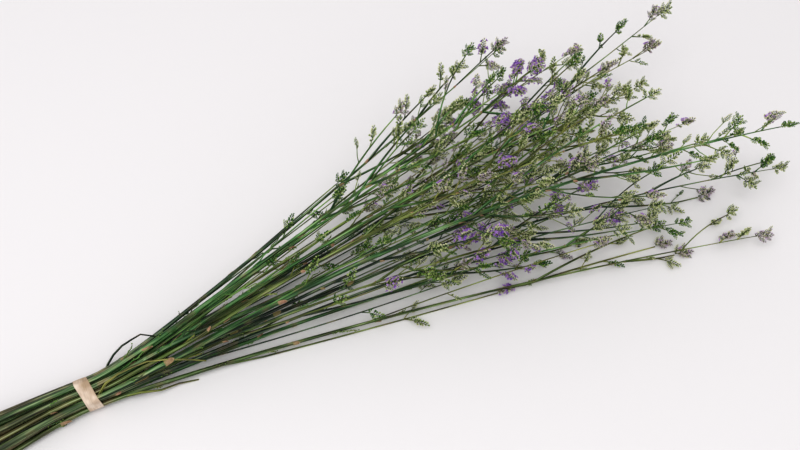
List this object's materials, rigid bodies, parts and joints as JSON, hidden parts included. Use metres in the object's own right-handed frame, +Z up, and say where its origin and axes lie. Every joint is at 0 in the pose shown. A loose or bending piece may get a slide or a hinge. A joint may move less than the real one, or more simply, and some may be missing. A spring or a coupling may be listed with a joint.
{
  "type": "dried statice bunch",
  "caption": "Tied bunch of statice lying on its side: slender branched green stems with short spikes of cream and violet florets, held near the cut ends by a flat rubber band.",
  "frame": {"origin": "middle of the bunch's footprint, on the surface that it lies on", "axes": "+X along the bunch from the cut ends to the flowering tips, +Y to the left of that, +Z up from the surface"},
  "size_m": [0.676, 0.2138, 0.1286],
  "materials": {
    "stem_green": "satin",
    "stem_blue_green": "satin",
    "stem_olive": "satin",
    "calyx": "matte",
    "petal": "matte",
    "bract": "matte",
    "rubber_band": "satin"
  },
  "bodies": {
    "root": {"stem_01": "stem_green", "stem_02": "stem_blue_green", "stem_03": "stem_olive", "stem_04": "stem_green", "stem_05": "stem_blue_green", "stem_06": "stem_olive", "stem_07": "stem_green", "stem_08": "stem_blue_green", "stem_09": "stem_olive", "stem_10": "stem_green", "stem_11": "stem_blue_green", "stem_12": "stem_olive", "stem_13": "stem_green", "stem_14": "stem_blue_green", "stem_15": "stem_olive", "stem_16": "stem_green", "stem_17": "stem_blue_green", "stem_18": "stem_olive", "stem_19": "stem_green", "rubber_band": "rubber_band"}
  },
  "joints": []
}
